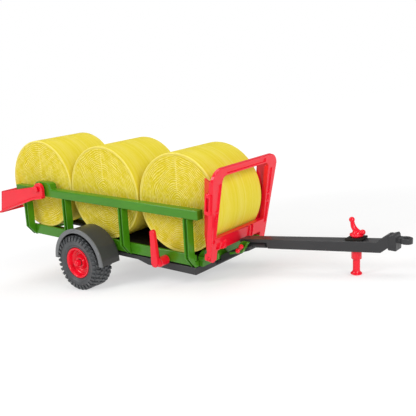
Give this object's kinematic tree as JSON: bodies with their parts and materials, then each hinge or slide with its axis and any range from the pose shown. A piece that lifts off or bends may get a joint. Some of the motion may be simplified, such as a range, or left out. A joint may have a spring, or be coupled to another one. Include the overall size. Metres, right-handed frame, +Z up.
{
  "type": "toy bale trailer",
  "caption": "Toy round-bale transport trailer with ribbed cradle, swing-up rear gate, leaning headboard, single axle and screw parking jack, carrying drum-shaped bales.",
  "frame": {"origin": "on the floor, at the middle of the bounding box in X and Y", "axes": "+X forward to the hitch eye, +Y to the trailer's left, +Z straight up; the trailer stands nose-down on its wheels and its raised jack"},
  "size_m": [0.4346, 0.1296, 0.1478],
  "materials": {
    "straw": "moulded straw-yellow plastic with fine wound ridges",
    "cradle": "satin leaf-green moulded plastic",
    "black": "matt black plastic",
    "chassis": "dark grey satin plastic",
    "fender": "dark grey satin plastic, lighter at the lip",
    "tyre": "soft dark grey tyre compound",
    "rim": "gloss red plastic",
    "red": "gloss red plastic"
  },
  "bodies": {
    "trailer": {"top_rail_right": "cradle", "top_rail_left": "cradle", "sill_rail_right": "cradle", "sill_rail_left": "cradle", "rib_1": "cradle", "rib_2": "cradle", "rib_3": "cradle", "rib_4": "cradle", "bed_floor": "black", "front_panel": "cradle", "front_strut_right": "cradle", "front_strut_left": "cradle", "chassis_frame": "chassis", "axle": "chassis", "fender_right": "fender", "fender_left": "fender", "drawbar": "chassis", "tongue": "chassis", "tongue_pin": "chassis", "gate_pin_right": "red", "gate_pin_left": "red", "headboard_pin_right": "red", "headboard_pin_left": "red", "jack_plate": "black", "jack_sleeve": "red"},
    "wheel_right": {"tyre_right": "tyre", "rim_right": "rim", "hub_cap_right": "rim"},
    "wheel_left": {"tyre_left": "tyre", "rim_left": "rim", "hub_cap_left": "rim"},
    "rear_gate": {"rear_gate": "red"},
    "headboard": {"headboard": "red"},
    "front_latch": {"front_latch": "red"},
    "side_lever": {"side_lever": "red"},
    "jack_crank": {"jack_crank": "red"},
    "jack_leg": {"jack_leg": "red"},
    "bale_1": {"bale_1": "straw"},
    "bale_2": {"bale_2": "straw"},
    "bale_3": {"bale_3": "straw"}
  },
  "joints": [
    {"name": "wheel_right_spin", "type": "hinge", "parent": "trailer", "child": "wheel_right", "pos_m": [-0.09063, -0.052, 0.027], "axis": [0, 1, 0], "continuous": true},
    {"name": "wheel_left_spin", "type": "hinge", "parent": "trailer", "child": "wheel_left", "pos_m": [-0.09063, 0.052, 0.027], "axis": [0, 1, 0], "continuous": true},
    {"name": "rear_gate_swing", "type": "hinge", "parent": "trailer", "child": "rear_gate", "pos_m": [-0.14598, 0, 0.09983], "axis": [0, 1, 0], "range_deg": [0, 105]},
    {"name": "headboard_tilt", "type": "hinge", "parent": "trailer", "child": "headboard", "pos_m": [0.05505, 0, 0.02491], "axis": [0, 1, 0], "range_deg": [0, 18]},
    {"name": "front_latch_turn", "type": "hinge", "parent": "trailer", "child": "front_latch", "pos_m": [0.06682, -0.01, 0.02556], "axis": [0, 1, 0], "range_deg": [0, 90]},
    {"name": "side_lever_swing", "type": "hinge", "parent": "trailer", "child": "side_lever", "pos_m": [0.00155, -0.048, 0.0234], "axis": [0, 1, 0], "range_deg": [-15, 60]},
    {"name": "jack_crank_turn", "type": "hinge", "parent": "trailer", "child": "jack_crank", "pos_m": [0.17284, 0, 0.03301], "axis": [0.1665, 0, 0.986], "range_deg": [0, 1440]},
    {"name": "jack_leg_slide", "type": "slide", "parent": "trailer", "child": "jack_leg", "axis": [-0.1665, 0, -0.986], "range_m": [0, 0.014]},
    {"name": "bale_1_lift", "type": "slide", "parent": "trailer", "child": "bale_1", "axis": [0.1665, 0, 0.986], "range_m": [0, 0.125]},
    {"name": "bale_2_lift", "type": "slide", "parent": "trailer", "child": "bale_2", "axis": [0.1665, 0, 0.986], "range_m": [0, 0.125]},
    {"name": "bale_3_lift", "type": "slide", "parent": "trailer", "child": "bale_3", "axis": [0.1665, 0, 0.986], "range_m": [0, 0.125]}
  ],
  "couplings": [
    {"joint": "jack_crank_turn", "follows": "jack_leg_slide", "rad_per_m": 1795.2}
  ]
}
